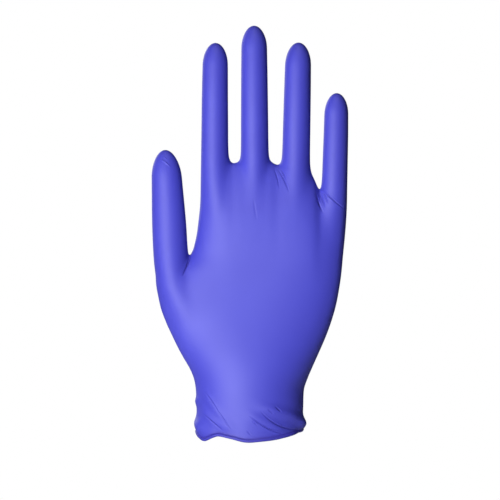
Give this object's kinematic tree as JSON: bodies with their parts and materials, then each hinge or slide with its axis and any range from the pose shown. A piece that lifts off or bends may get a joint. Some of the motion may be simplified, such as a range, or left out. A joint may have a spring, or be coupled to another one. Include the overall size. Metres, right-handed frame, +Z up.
{
  "type": "nitrile exam glove",
  "caption": "Thin seamless dipped film glove in its worn form, fingers up, hollow throughout and open at the wrist with a rolled bead.",
  "frame": {"origin": "middle of the wrist opening, at the mean height of its rolled rim", "axes": "+Z up the fingers, +X towards the little finger, -Y out of the back of the hand, +Y out of the palm"},
  "size_m": [0.1132, 0.0467, 0.2403],
  "materials": {
    "nitrile_film": "blue-violet nitrile film, satin"
  },
  "bodies": {
    "root": {"nitrile_glove": "nitrile_film"}
  },
  "joints": []
}
